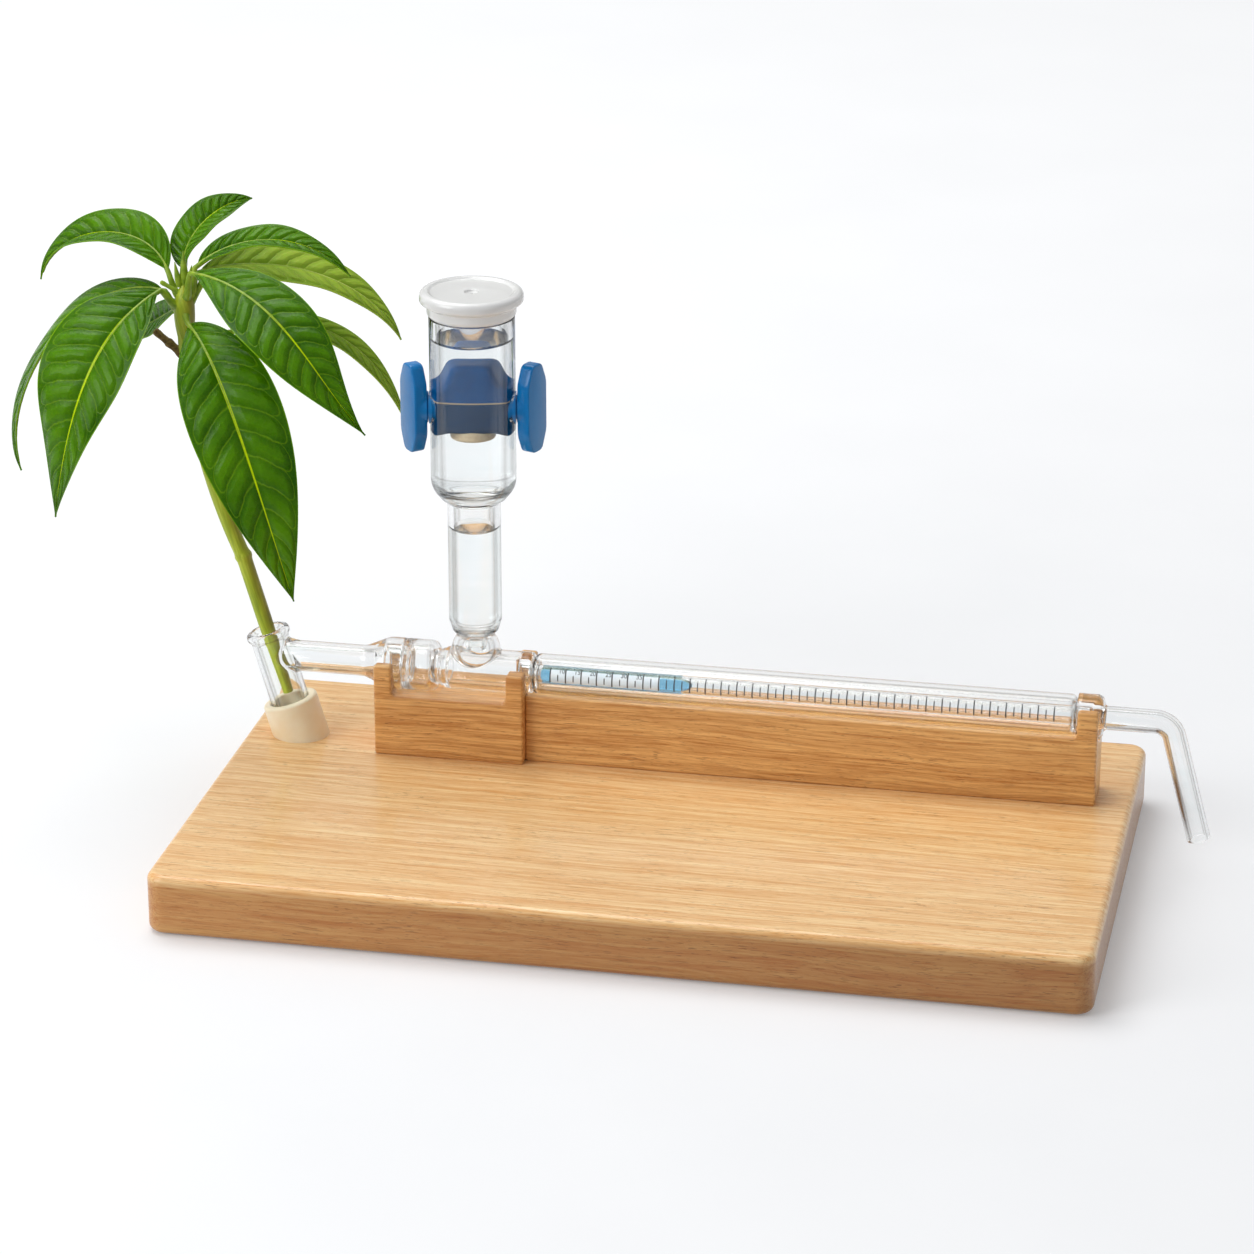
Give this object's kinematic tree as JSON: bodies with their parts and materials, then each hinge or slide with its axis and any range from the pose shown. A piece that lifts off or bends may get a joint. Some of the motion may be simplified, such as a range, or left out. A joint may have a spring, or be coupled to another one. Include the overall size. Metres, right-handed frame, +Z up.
{
  "type": "transpiration demonstration kit",
  "caption": "Glass potometer on a wooden board: a leafy shoot in a leaning vessel, a tapped water reservoir and a level measuring tube with an outlet.",
  "frame": {"origin": "middle of the board's underside", "axes": "+X along the board towards the outlet, +Y to the back, +Z up"},
  "size_m": [0.4081, 0.17, 0.1996],
  "materials": {
    "board_wood": "satin lacquered beech",
    "block_wood": "satin lacquered beech",
    "screw_steel": "zinc plated",
    "foot_plastic": "cream nylon",
    "glass": "clear blown glass",
    "stopper_plastic": "translucent white polythene",
    "blue_plastic": "glossy moulded",
    "seat_plastic": "pale tan",
    "bush_plastic": "white",
    "dyed_water": "dyed water",
    "stem": "green stem",
    "bark": "dry twig",
    "leaf": "waxy leaf"
  },
  "bodies": {
    "stand": {"base_board": "board_wood", "cradle_block": "block_wood", "scale_rail": "block_wood", "block_screws": "screw_steel", "vessel_foot": "foot_plastic", "plant_vessel": "glass", "side_arm": "glass", "tee_tube": "glass", "ball_joint": "glass", "reservoir_tube": "glass", "reservoir_chamber": "glass", "valve_body": "blue_plastic", "valve_seat": "seat_plastic", "spindle_bushes": "bush_plastic", "measuring_jacket": "glass", "capillary_tube": "glass", "outlet_tube": "glass"},
    "stopper": {"reservoir_stopper": "stopper_plastic"},
    "key": {"spindle": "blue_plastic", "left_grip": "blue_plastic", "right_grip": "blue_plastic"},
    "dye": {"dye_column": "dyed_water"},
    "shoot": {"shoot_stem": "stem", "shoot_buds": "leaf", "twig_stub": "bark", "leaf_front": "leaf", "leaf_left_front": "leaf", "leaf_far_left": "leaf", "leaf_upper_left": "leaf", "leaf_top": "leaf", "leaf_upper_right": "leaf", "leaf_right_front": "leaf", "leaf_right_back": "leaf", "leaf_lower_right": "leaf", "leaf_back": "leaf"}
  },
  "joints": [
    {"name": "stopcock_turn", "type": "hinge", "parent": "stand", "child": "key", "pos_m": [-0.0705, 0.037, 0.1405], "axis": [0.9833, 0.1822, 0], "range_deg": [0, 90]},
    {"name": "stopper_lift", "type": "slide", "parent": "stand", "child": "stopper", "axis": [0, 0, 1], "range_m": [0, 0.04]},
    {"name": "shoot_draw", "type": "slide", "parent": "stand", "child": "shoot", "axis": [-0.284, 0, 0.9588], "range_m": [0, 0.045]},
    {"name": "dye_creep", "type": "slide", "parent": "stand", "child": "dye", "axis": [1, 0, 0], "range_m": [0, 0.11]}
  ]
}
